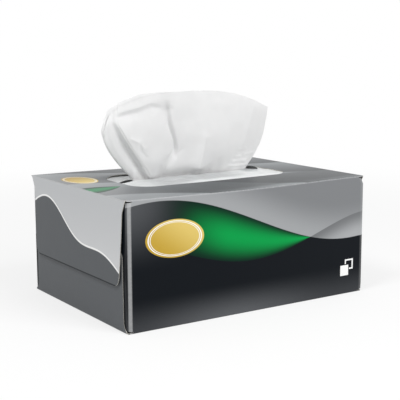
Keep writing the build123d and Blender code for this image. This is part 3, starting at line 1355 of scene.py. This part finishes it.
@dataclass
class SlitFilm:
    """Film glued under the mouth, whose two lips stand up against the sheet in its slit."""

    carton: Carton
    size: Pair = (148.0, 78.0)
    thickness: float = 0.1
    slit: Pair = (-63.0, 52.0)
    gap: float = 5.6
    left_flare: float = 0.5
    right_flare: float = -0.6
    lip_rise: float = 2.4
    loose_lift: float = 0.3
    columns: int = 112
    rows: int = 30

    def half_gap(self, x: float) -> float:
        """Half of the slit's width at a place along it.

        Args:
            x: place along the slit.

        Returns:
            Half of the width there.
        """
        middle = (self.slit[0] + self.slit[1]) / 2
        share = min(abs(x - middle) / (self.slit[1] - middle), 1.0)
        flare = self.left_flare if x < middle else self.right_flare
        wide = 1 + flare * ease(share, 0.66, 0.88)
        return self.gap / 2 * wide * (1 - share**24)

    def _joined(self, half: int, x: float, row: int) -> int:
        """The half a point of the mesh belongs to, or 0 where both halves share it past the slit's ends."""
        return 0 if row == 0 and self.half_gap(x) == 0 else half

    @staticmethod
    def lip_share(x: float, front: bool) -> float:
        """Share of its full rise that the front lip, or else the back one, has at a place along it.

        Args:
            x: place along the slit.
            front: whether the lip is the front one.

        Returns:
            The share there.
        """
        swell = ease(x, -48, 6)
        if front:
            right = 1 - 0.25 * ease(x, 37, 46) - 0.75 * ease(x, 46, 60)
            return ease(x, -62.5, -53.5) * (0.74 + 0.26 * swell) * right
        tab = 0.7 * ease(x, 36, 44) * (1 - ease(x, 48, 58))
        return ease(x, -62, -52) * (0.28 + 0.72 * swell) * (1 - ease(x, 46, 60)) + tab

    def height_at(self, x: float, y: float) -> float:
        """Height of the film's top face.

        Args:
            x: place along the length.
            y: place across the width.

        Returns:
            The height there.
        """
        end, mouth = self.carton.mouth[0] / 2, self.carton.mouth[1] / 2
        level = self.carton.height - self.carton.board - self.carton.sag(x, y)
        near = 1 - ease(abs(y), self.half_gap(x), mouth)
        inside = 1 - ease(abs(y), mouth - 6, mouth)
        ends = 1 - ease(abs(x), end - 6, end)
        creases = 0.22 * math.sin(x / 2.9 + 2.2 * math.sin(y / 6.0)) * near
        creases += 0.5 * noise.noise(Vector((x / 17, y / 7, 0.4))) * inside
        loose = ease(y, 14, 23) * (1 - ease(y, mouth + 4, mouth + 9))
        loose *= (1 - ease(x, -46, -14)) * ease(x, -68, -58)
        lip = self.lip_rise * near**1.4 * self.lip_share(x, y <= 0)
        return level + lip + creases * inside * ends + self.loose_lift * loose

    def build(self) -> bpy.types.Object:
        """Mesh both halves of the film and join them past the slit's ends.

        Returns:
            The film as one closed piece.
        """
        width, depth = self.size
        across = np.linspace(-width / 2, width / 2, self.columns + 1)
        points: List[Triple] = []
        index: Dict[Tuple[int, int, int], int] = {}
        for half in (-1, 1):
            for column, x in enumerate(across):
                gap = self.half_gap(x)
                for row in range(self.rows + 1):
                    y = half * (gap + (depth / 2 - gap) * row / self.rows)
                    key = (self._joined(half, x, row), column, row)
                    if key not in index:
                        index[key] = len(points)
                        points.append((x, y, self.height_at(x, y)))
        faces: List[Face] = []
        for half in (-1, 1):
            for column in range(self.columns):
                for row in range(self.rows):
                    ring = [(column, row), (column + 1, row), (column + 1, row + 1), (column, row + 1)]
                    face = tuple(index[(self._joined(half, across[c], r), c, r)] for c, r in ring)
                    faces.append(face[::half])
        return closed_sheet("slit_film_lips", np.array(points), faces, self.thickness)

    def make(self) -> bpy.types.Object:
        """The dressed film in place of its CAD node.

        Returns:
            The film.
        """
        piece = self.build()
        dress(piece, [MilkyFilm().make()] * 3)
        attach(piece, BODY)
        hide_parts("slit_film")
        return piece


def through_knots(knots: np.ndarray, values: np.ndarray, at: np.ndarray) -> np.ndarray:
    """Smooth curve through values at uneven knots.

    Args:
        knots: rising parameters of the values.
        values: one value a knot, along the first axis.
        at: parameters to read.

    Returns:
        The curve's values there.
    """
    gaps = np.diff(knots)
    spread = (slice(None),) + (None,) * (values.ndim - 1)
    slopes = np.diff(values, axis=0) / gaps[spread]
    before, after = gaps[:-1][spread], gaps[1:][spread]
    middle = (slopes[:-1] * after + slopes[1:] * before) / (before + after)
    tangents = np.concatenate([slopes[:1], middle, slopes[-1:]])
    part = np.clip(np.searchsorted(knots, at, side="right") - 1, 0, len(gaps) - 1)
    size = gaps[part][spread]
    share = ((at - knots[part]) / gaps[part])[spread]
    start, stop = values[part], values[part + 1]
    lead, trail = tangents[part] * size, tangents[part + 1] * size
    square, cube = share**2, share**3
    return (
        start * (2 * cube - 3 * square + 1)
        + lead * (cube - 2 * square + share)
        + stop * (3 * square - 2 * cube)
        + trail * (cube - square)
    )


@dataclass(frozen=True)
class FoldLine:
    """Line up the raised sheet from its foot in the slit to its free edge.

    Each point is seen on the slit's own plane, as (along, up), and then stands at a depth off it.
    """

    name: str
    points: Tuple[Triple, ...]


@dataclass(frozen=True)
class Crease:
    """Crease pressed into the raised sheet, back if its depth is above 0, else forward.

    Its path is seen on the slit's plane. One with a step drops over that width on the left of
    its line only, and the right side stands over it.
    It fades past its ends, and from the height where it is full to the height where it is gone.
    """

    name: str
    points: Tuple[Pair, ...]
    depth: float
    width: float
    step: float = 0.0
    fade: float = 3.0
    gone_at: float = 0.0
    full_at: float = 1.0

    def press(self, seen: np.ndarray) -> np.ndarray:
        """How far each place is moved.

        Args:
            seen: places on the slit's plane.

        Returns:
            One distance a place.
        """
        path = np.array(self.points)
        if not self.step:
            return self.depth * np.exp(-path_distance(seen, path) / self.width)
        left, past = path_side(seen, path)
        reach = np.maximum(left, 0.0)
        drop = smooth(np.minimum(reach / self.step, 1.0))
        drop *= np.exp(-np.maximum(reach - self.step, 0.0) / self.width)
        share = np.clip((seen[:, 1] - self.gone_at) / (self.full_at - self.gone_at), 0.0, 1.0)
        return self.depth * smooth(share) * drop * np.exp(-((past / self.fade) ** 2))


SHEET_CREASES: Tuple[Crease, ...] = (
    Crease(
        "facet_step",
        ((-38.8, 84.4), (-43.3, 92.1), (-50.8, 102.8), (-58.2, 114.4), (-62, 121.5)),
        depth=3.0, width=7.5, step=3.8, fade=3.0, gone_at=126.0, full_at=100.0,
    ),
    Crease(
        "strip_edge",
        ((-25, 132.8), (-31, 133.4), (-37, 134), (-41.4, 132.8), (-48.3, 130.8), (-58, 129.2)),
        depth=1.3, width=8.0, step=3.6, fade=5.0,
    ),
    Crease(
        "panel_edge",
        (
            (-16.5, 90), (-13.8, 96), (-14, 102), (-15.3, 106.7), (-16.9, 114), (-19, 121),
            (-19.6, 128.6),
        ),
        depth=2.3, width=7.0, step=5.6, fade=4.0, gone_at=86.0, full_at=106.0,
    ),
    Crease("soft_ridge", ((8.2, 107.9), (5, 94.5), (2, 87)), depth=-0.8, width=2.8),
    Crease("lower_valley", ((-13.2, 100.4), (-23.5, 91.8), (-28.9, 85.3)), depth=0.5, width=1.8),
    Crease("facet_kink", ((-52, 110), (-46.5, 107.5), (-42, 103)), depth=-0.5, width=1.2),
    Crease("facet_kink_foot", ((-45, 106.5), (-44, 101), (-40.5, 97)), depth=0.5, width=1.1),
    Crease("roll_kink", ((-70, 112), (-66.5, 108), (-63, 106)), depth=0.4, width=1.3),
    Crease("right_streak", ((49.7, 130), (44, 112), (39.1, 98)), depth=-0.45, width=2.6),
    Crease("tuck_low", ((26.6, 86.6), (35, 86.2), (43, 86.4)), depth=-0.9, width=0.6),
    Crease("tuck_middle", ((29.8, 89.4), (36, 89.6), (41.6, 89.2)), depth=-1.1, width=0.6),
    Crease("tuck_high", ((32.7, 92.4), (36.2, 92.8)), depth=-0.8, width=0.6),
    Crease("tuck_top", ((36.2, 97.5), (41, 98.2)), depth=-0.8, width=0.7),
    Crease("tuck_edge", ((40, 93.6), (48, 94.8)), depth=-0.5, width=0.7),
)

SHEET_FOLDS: Tuple[FoldLine, ...] = (
    FoldLine(
        "tucked_edge",
        (
            (-46, 80.2, 1.5), (-47, 84, 2.5), (-54, 94, 5), (-61, 105, 7), (-64, 114, 8),
            (-63, 119, 7.5), (-62, 122, 7),
        ),
    ),
    FoldLine(
        "left_turn",
        (
            (-50.5, 80.2, 0.3), (-52.4, 84, 0.2), (-61.8, 94, -0.2), (-69.8, 105, -0.4),
            (-72.3, 113.4, -0.5), (-71.4, 117.8, -0.7), (-70, 121, -0.9),
        ),
    ),
    FoldLine(
        "roll_crest",
        (
            (-46.6, 80.2, -0.5), (-47.8, 84, -1.5), (-57, 94, -2.6), (-65.2, 105, -3),
            (-69, 115, -3.2), (-69.4, 121, -3), (-68.6, 125.6, -2.8),
        ),
    ),
    FoldLine(
        "groove",
        (
            (-43, 80.2, -0.4), (-43.2, 84, -1.6), (-51.6, 93.3, -3.2), (-58.8, 104.5, -3.8),
            (-63.8, 115.5, -3.9), (-66.2, 123, -3.4), (-66, 128.4, -3),
        ),
    ),
    FoldLine(
        "groove_wall",
        (
            (-41, 80.2, -0.4), (-40.7, 84, -1.8), (-46.6, 92.8, -4.2), (-54.4, 104, -5),
            (-60.6, 115, -5), (-64.3, 123.4, -4.5), (-63.8, 129.4, -4.2),
        ),
    ),
    FoldLine(
        "facet_edge",
        (
            (-39.5, 80.2, -0.3), (-38.8, 84.4, -2), (-43.4, 92.2, -4.6), (-51.2, 103.4, -5.8),
            (-58.2, 114.4, -6), (-62.8, 124, -5.3), (-61.8, 131, -5),
        ),
    ),
    FoldLine(
        "facet_lip",
        (
            (-38.5, 80.2, -0.3), (-37, 84.5, -2.4), (-41, 92, -5.1), (-48.4, 103.4, -6.4),
            (-55.2, 114.5, -6.9), (-59.6, 125, -6.2), (-59.4, 132.2, -5.7),
        ),
    ),
    FoldLine(
        "facet_middle",
        (
            (-36, 80.2, 0.3), (-34, 84.5, -1.6), (-35, 92, -5.2), (-37, 103, -6.5),
            (-41, 116, -7.1), (-44.5, 130, -7.1), (-45, 136.7, -6.8),
        ),
    ),
    FoldLine(
        "facet_right",
        (
            (-34, 80.2, 0.6), (-31.8, 84.5, -0.8), (-28.4, 92, -4.3), (-21.6, 103, -5.7),
            (-26.4, 119, -6.6), (-35, 133, -6.9), (-34, 138.6, -6.7),
        ),
    ),
    FoldLine(
        "valley",
        (
            (-32, 80.2, 0.9), (-30.2, 83.4, 0.2), (-25.6, 90.5, -2.9), (-18.6, 103, -3.6),
            (-23.2, 119, -4.9), (-24.5, 132.4, -6), (-25, 139.6, -6.6),
        ),
    ),
    FoldLine(
        "valley_right",
        (
            (-29, 80.2, 0.5), (-26, 83.5, 0.2), (-20.5, 88.6, -3.1), (-12.6, 103, -5),
            (-17.2, 119, -5.8), (-17, 133, -6.4), (-16.5, 140.2, -6.6),
        ),
    ),
    FoldLine(
        "lower_swell",
        (
            (-14, 80.2, 0.5), (-11, 83.5, 0.0), (-8, 89.4, -3.9), (-1, 103, -5.5), (-3, 119, -6.2),
            (-5, 133, -6.7), (-5, 140.6, -6.8),
        ),
    ),
    FoldLine(
        "soft_ridge",
        (
            (1, 80.2, 0.2), (1, 84.2, -1), (2.2, 87.4, -4.6), (7.2, 105, -6.5), (7, 119, -7),
            (8, 133, -7.2), (9, 140.3, -7.1),
        ),
    ),
    FoldLine(
        "ridge_dip",
        (
            (8, 80.2, 0.1), (8, 83.8, -0.4), (9.5, 90.6, -3.9), (15.5, 105, -6), (17, 119, -6.6),
            (19, 132.5, -7), (20.5, 139.4, -6.9),
        ),
    ),
    FoldLine(
        "panel_middle",
        (
            (20, 80.2, -0.9), (22, 84.8, -1.5), (27, 96, -4.5), (30, 106, -5.4), (33, 119, -5.9),
            (35.5, 130.5, -6.2), (36.5, 136.5, -6.1),
        ),
    ),
    FoldLine(
        "panel_right",
        (
            (32, 80.2, -2), (34.5, 84.4, -2.2), (42.5, 97.5, -3.4), (46, 107, -4.1),
            (49, 118, -4.5), (51, 126.5, -4.8), (51.5, 131.3, -4.8),
        ),
    ),
    FoldLine(
        "right_streak",
        (
            (37, 80.2, -1.8), (39.5, 84, -1.9), (48, 96.5, -2.6), (52.5, 107, -3.1),
            (55.3, 117.5, -3.5), (57, 124.5, -3.7), (57.4, 128.7, -3.7),
        ),
    ),
    FoldLine(
        "right_edge",
        (
            (38.5, 80.2, -1.4), (41.8, 84, -1.5), (50.8, 95.5, -1.9), (56.8, 106.8, -2.3),
            (59.4, 116.5, -2.7), (60.7, 122.6, -2.9), (61.2, 126.9, -2.9),
        ),
    ),
)


@dataclass(frozen=True)
class FootRow:
    """Row of the sheet under the slit: its level on the sheet, its spread, its depth and its height."""

    level: float
    spread: float
    depth: float
    height: float


@dataclass
class RaisedTissue:
    """Two-ply sheet gathered in the slit and fanned out above it."""

    folds: Tuple[FoldLine, ...] = SHEET_FOLDS
    creases: Tuple[Crease, ...] = SHEET_CREASES
    heights: Tuple[float, ...] = (0.0, 0.08, 0.22, 0.42, 0.66, 0.88, 1.0)
    eye: Triple = PHOTO_EYE
    foot: Tuple[FootRow, ...] = (FootRow(-0.40, 1.75, -26.0, 79.3), FootRow(-0.16, 1.05, -8.0, 79.6))
    calm_from: float = 0.88
    calm: float = 0.8
    free_from: float = 82.0
    ply: float = 0.12
    per_fold: int = 13
    per_level: int = 16
    flat: Pair = (182.0, 84.0)

    def surface(self, ply: int) -> Tuple[np.ndarray, int, int]:
        """Points of one ply.

        Args:
            ply: 0 for the front ply, 1 for the one behind it.

        Returns:
            The points, and how many stand along the sheet and up it.
        """
        net = np.array([fold.points for fold in self.folds], dtype=float)
        places = self._stood(net[..., 0], net[..., 1], net[..., 2])
        rows: List[np.ndarray] = []
        for row in self.foot:
            laid = places[:, 0] * [row.spread, 0.0, 0.0] + [0.0, row.depth, row.height]
            rows.append(laid[:, None])
        places = np.concatenate(rows + [places], axis=1)
        knots = np.arange(len(self.folds), dtype=float)
        across = np.linspace(0, knots[-1], (len(knots) - 1) * self.per_fold + 1)
        levels = np.array([row.level for row in self.foot] + list(self.heights))
        count = (len(levels) - 1) * self.per_level
        upward = np.interp(np.linspace(0, len(levels) - 1, count + 1), np.arange(len(levels)), levels)
        lines = through_knots(knots, places, across)
        sheet = through_knots(levels, lines.transpose(1, 0, 2), upward).transpose(1, 0, 2)
        sheet = self._pressed(sheet, upward)
        for column in range(sheet.shape[0]):
            share = column / (sheet.shape[0] - 1)
            for row, level in enumerate(upward):
                sheet[column, row] = self._crumple(sheet[column, row], share, level, ply)
        return sheet.reshape(-1, 3), sheet.shape[0], sheet.shape[1]

    def _pressed(self, sheet: np.ndarray, upward: np.ndarray) -> np.ndarray:
        """Press the creases in, less so at the free edge.

        Args:
            sheet: points along the sheet and up it.
            upward: level of each row.

        Returns:
            The moved points.
        """
        flat = np.array(sheet).reshape(-1, 3)
        near_edge = np.clip((upward - self.calm_from) / (1 - self.calm_from), 0, 1)
        share = np.tile(1 - self.calm * smooth(near_edge), sheet.shape[0])
        eye = np.array(self.eye)
        depth = np.array(flat[:, 1])
        seen = eye + (flat - eye) * (eye[1] / (eye[1] - depth))[:, None]
        back, forward = np.zeros(len(flat)), np.zeros(len(flat))
        for crease in self.creases:
            push = crease.press(seen[:, [0, 2]])
            back, forward = np.maximum(back, push), np.minimum(forward, push)
        depth += (back + forward) * share
        moved = self._stood(seen[:, 0], seen[:, 2], depth)
        low = flat[:, 2] < self.free_from
        moved[low] = flat[low]
        return moved.reshape(sheet.shape)

    def _stood(self, along: np.ndarray, up: np.ndarray, depth: np.ndarray) -> np.ndarray:
        """Places off the slit's plane, on the eye's lines to places on that plane.

        Args:
            along: places along the slit.
            up: their heights.
            depth: how far off the plane each then stands.

        Returns:
            The places in space.
        """
        eye = np.array(self.eye)
        flat = np.stack([along, np.zeros_like(along), up], axis=-1)
        return flat + (depth / eye[1])[..., None] * (eye - flat)

    def _crumple(self, point: np.ndarray, share: float, level: float, ply: int) -> np.ndarray:
        """Point moved by the sheet's small wrinkles, and by the ply it belongs to.

        Args:
            point: place on the smooth sheet.
            share: how far along the sheet, from 0 to 1.
            level: how far up the sheet, from 0 to 1.
            ply: 0 for the front ply, 1 for the one behind it.

        Returns:
            The moved place.
        """
        x, y, z = point
        free = ease(level, 0.03, 0.2)
        broad = noise.noise(Vector((x / 15, z / 19, 3.1 + ply))) * 0.35
        fine = noise.noise(Vector((x / 5, z / 6, 7.7 + ply))) * 0.12
        gather = math.sin(x * 0.8 + 1.5 * math.sin(x * 0.11)) * 0.22 * (1 - ease(level, 0.05, 0.24))
        y += (broad + fine) * free + gather
        if ply:
            corner = (1 - ease(share, 0.36, 0.6)) * ease(level, 0.45, 0.85)
            turn = math.radians(160 - 85 * ease(share, 0.02, 0.3))
            y += 0.45 * ease(level, 0.0, 0.2) + 1.0 * corner
            show = (1.3 + 1.7 * ease(share, 0.05, 0.22)) * corner
            x += show * math.cos(turn)
            z += show * math.sin(turn) - 0.3 * (1 - ease(level, -0.2, 0.05))
        return np.array([x, y, z])

    def build(self, ply: int) -> bpy.types.Object:
        """Mesh of one ply.

        Args:
            ply: 0 for the front ply, 1 for the one behind it.

        Returns:
            The ply as one closed piece.
        """
        points, columns, rows = self.surface(ply)
        faces = [
            (c * rows + r, (c + 1) * rows + r, (c + 1) * rows + r + 1, c * rows + r + 1)
            for c in range(columns - 1)
            for r in range(rows - 1)
        ]
        name = ("raised_sheet_front_ply", "raised_sheet_back_ply")[ply]
        return closed_sheet(name, points, faces, self.ply)

    def make(self) -> List[bpy.types.Object]:
        """Both dressed plies in place of their CAD node.

        Returns:
            The front ply and the back one.
        """
        material = SoftTissue().make()
        plies = [self.build(ply) for ply in (0, 1)]
        for piece in plies:
            dress(piece, [material] * 3)
            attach(piece, BODY)
        for piece in plies:
            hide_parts("raised_tissue")
        return plies


@dataclass
class TissuePile:
    """Pile of interfolded tissues: layered sides and a softly rippled top sheet."""

    # The pile's tissue is a little darker than the raised sheet's: painted shade for the unlit inside of the
    # carton.
    finish: SoftTissue = SoftTissue("shaded_pile_tissue", "EDEDEC", "E0E0DF", through=0.0)
    layers: int = 36
    corner: float = 3.0
    ripple: float = 0.35
    trough: float = 9.0
    pitch: float = 3.0
    top_rings: int = 14

    def _tuck(self, share: float) -> float:
        """How far the sides draw in at a share of the height, at each layer's edge and at the top.

        Args:
            share: share of the height.

        Returns:
            The distance in.
        """
        layered = 0.25 * (1 - math.cos(share * self.layers * 2 * math.pi))
        brow = 1.2 * (1 - min(1.0, (1 - share) * 40)) ** 2
        uneven = 0.35 * (0.5 + 0.5 * noise.noise(Vector((0.0, 0.0, share * 23))))
        return layered + brow + uneven

    def _ripple(self, x: float, y: float) -> float:
        """How far the top sheet stands over its plane, less the trough that it is pulled into."""
        wave = self.ripple * noise.noise(Vector((x / 21, y / 13, 1.7)))
        return wave - self.trough * math.exp(-((y / 7.0) ** 2)) * (1 - ease(abs(x), 42, 56))

    def build(self) -> bpy.types.Object:
        """Mesh the pile from rings that go up its sides and in over its top, and close it by a bottom.

        Returns:
            The pile as one closed piece.
        """
        low, high = (np.array(corner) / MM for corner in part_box("tissue_stack"))
        half = (high - low) / 2
        middle = (high + low) / 2
        corners = [(-half[0], -half[1]), (half[0], -half[1]), (half[0], half[1]), (-half[0], half[1])]
        ring = self._even(rounded_path(corners, [self.corner] * 4, 5), self.pitch)
        brim = high[2] - self.ripple
        points: List[Triple] = []
        for share in np.linspace(0.0, 1.0, 4 * self.layers + 1):
            tuck = self._tuck(share)
            shrink = (1 - tuck / half[0], 1 - tuck / half[1])
            height = low[2] + share * (brim - low[2])
            points += [(x * shrink[0], y * shrink[1], height) for x, y in ring]
        for step in range(1, self.top_rings):
            share = 1 - step / self.top_rings
            points += [(x * share, y * share, brim + self._ripple(x * share, y * share)) for x, y in ring]
        size = len(ring)
        last = len(points) - size
        faces: List[Face] = [tuple(reversed(range(size))), tuple(range(last, last + size))]
        for base in range(0, last, size):
            for place in range(size):
                after = (place + 1) % size
                faces.append((base + place, base + after, base + size + after, base + size + place))
        places = np.array(points) + [middle[0], middle[1], 0.0]
        return stand("tissue_pile", round_mesh("tissue_pile", places, faces))

    @staticmethod
    def _even(path: List[Pair], step: float) -> List[Pair]:
        """Closed path cut into bits no longer than a step.

        Args:
            path: corners of the path.
            step: the longest bit.

        Returns:
            The points of the cut path.
        """
        bits: List[Pair] = []
        for start, end in zip(path, path[1:] + path[:1]):
            count = max(1, math.ceil(math.dist(start, end) / step))
            for number in range(count):
                share = number / count
                bits.append(tuple(a + (b - a) * share for a, b in zip(start, end)))
        return bits

    def make(self) -> bpy.types.Object:
        """The dressed pile in place of its CAD node.

        Returns:
            The pile.
        """
        piece = self.build()
        dress(piece, [self.finish.make()])
        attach(piece, BODY)
        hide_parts("tissue_stack")
        return piece


@dataclass
class GlueLines:
    """Beads at the ends and the strip in the side seam, which keep their CAD shapes."""

    nodes: Tuple[str, ...] = ("end_glue", "seam_glue")

    def make(self) -> None:
        """Dress the CAD nodes."""
        material = HotMelt().make()
        for name in self.nodes:
            dress(frame["nodes"][name], [material])


@dataclass(frozen=True)
class SoftBox:
    """Rectangular soft light: its place and its size in metres, and its power in watts."""

    name: str
    place: Triple
    power: float
    size: Pair


@dataclass
class Studio:
    """Camera, floor, soft lights and white surroundings."""

    eye: Triple = PHOTO_EYE
    azimuth: float = -33.3736
    elevation: float = 9.458
    roll: float = -0.1933
    focal: float = 977.0
    frame: float = 400.0
    sensor: float = 36.0
    fill: float = 0.5
    aim: Triple = (0.0, 0.0, 0.06)
    reach: float = 4.0
    lamps: Tuple[SoftBox, ...] = (
        SoftBox("key", (0.3, -0.95, 0.85), power=8.0, size=(0.6, 0.6)),
        SoftBox("left_fill", (-0.8, -0.25, 1.15), power=6.5, size=(0.4, 0.4)),
    )

    def camera(self) -> None:
        """Stand the camera where the photograph was taken."""
        turn, tilt, roll = (math.radians(angle) for angle in (self.azimuth, self.elevation, self.roll))
        level = math.cos(tilt)
        back = Vector((math.sin(turn) * level, -math.cos(turn) * level, math.sin(tilt)))
        right = Vector((0, 0, 1)).cross(back).normalized()
        up = back.cross(right)
        across = right * math.cos(roll) + up * math.sin(roll)
        upward = up * math.cos(roll) - right * math.sin(roll)
        lens = bpy.data.cameras.new("photo_camera")
        lens.sensor_width = self.sensor
        lens.lens = self.focal * self.sensor / self.frame
        lens.clip_start = 0.01
        lens.clip_end = 30.0
        camera = stand("photo_camera", lens)
        turned = Matrix((across, upward, back)).transposed().to_4x4()
        camera.matrix_world = Matrix.Translation(Vector(self.eye) * MM) @ turned
        bpy.context.scene.camera = camera

    def lamp(self, box: SoftBox) -> None:
        """Add a soft light that faces the carton.

        Args:
            box: the light's place, size and power.
        """
        light = bpy.data.lights.new(box.name, "AREA")
        light.shape = "RECTANGLE"
        light.energy = box.power
        light.size, light.size_y = box.size
        lamp = stand(box.name, light)
        lamp.location = box.place
        way = Vector(self.aim) - Vector(box.place)
        lamp.rotation_euler = way.to_track_quat("-Z", "Y").to_euler()

    def floor(self) -> None:
        """Lay the floor."""
        reach = self.reach
        mesh = bpy.data.meshes.new("floor")
        corners = [(-reach, -reach, 0), (reach, -reach, 0), (reach, reach, 0), (-reach, reach, 0)]
        mesh.from_pydata(corners, [], [(0, 1, 2, 3)])
        piece = stand("floor", mesh)
        dress(piece, [StudioFloor().make()])

    def surroundings(self) -> None:
        """White to the eye, and a plain even fill to the object."""
        world = bpy.context.scene.world or bpy.data.worlds.new("surroundings")
        bpy.context.scene.world = world
        recipe = Recipe("surroundings", world)
        even, white = (
            recipe.signal("ShaderNodeBackground", None, {"Color": WHITE, "Strength": strength})
            for strength in (self.fill, 1.0)
        )
        recipe.finish(recipe.blend(seen_directly(recipe), even, white))

    def make(self) -> None:
        """Set up the whole studio."""
        bpy.context.scene.view_settings.view_transform = "Standard"
        self.camera()
        self.floor()
        self.surroundings()
        for box in self.lamps:
            self.lamp(box)


def report(piece: bpy.types.Object) -> None:
    """Log a piece's name and how many faces it has."""
    LOG.info("%s: %d faces", piece.name, len(piece.data.polygons))


def main() -> None:
    """Set up the studio, build the pieces in order and log the face count of each new mesh."""
    logging.basicConfig(level=logging.INFO, format="%(name)s %(message)s")
    Studio().make()
    carton = Carton()
    report(carton.make())
    report(TissuePile().make())
    report(SlitFilm(carton).make())
    for ply in RaisedTissue().make():
        report(ply)
    GlueLines().make()


if __name__ == "__main__":
    main()
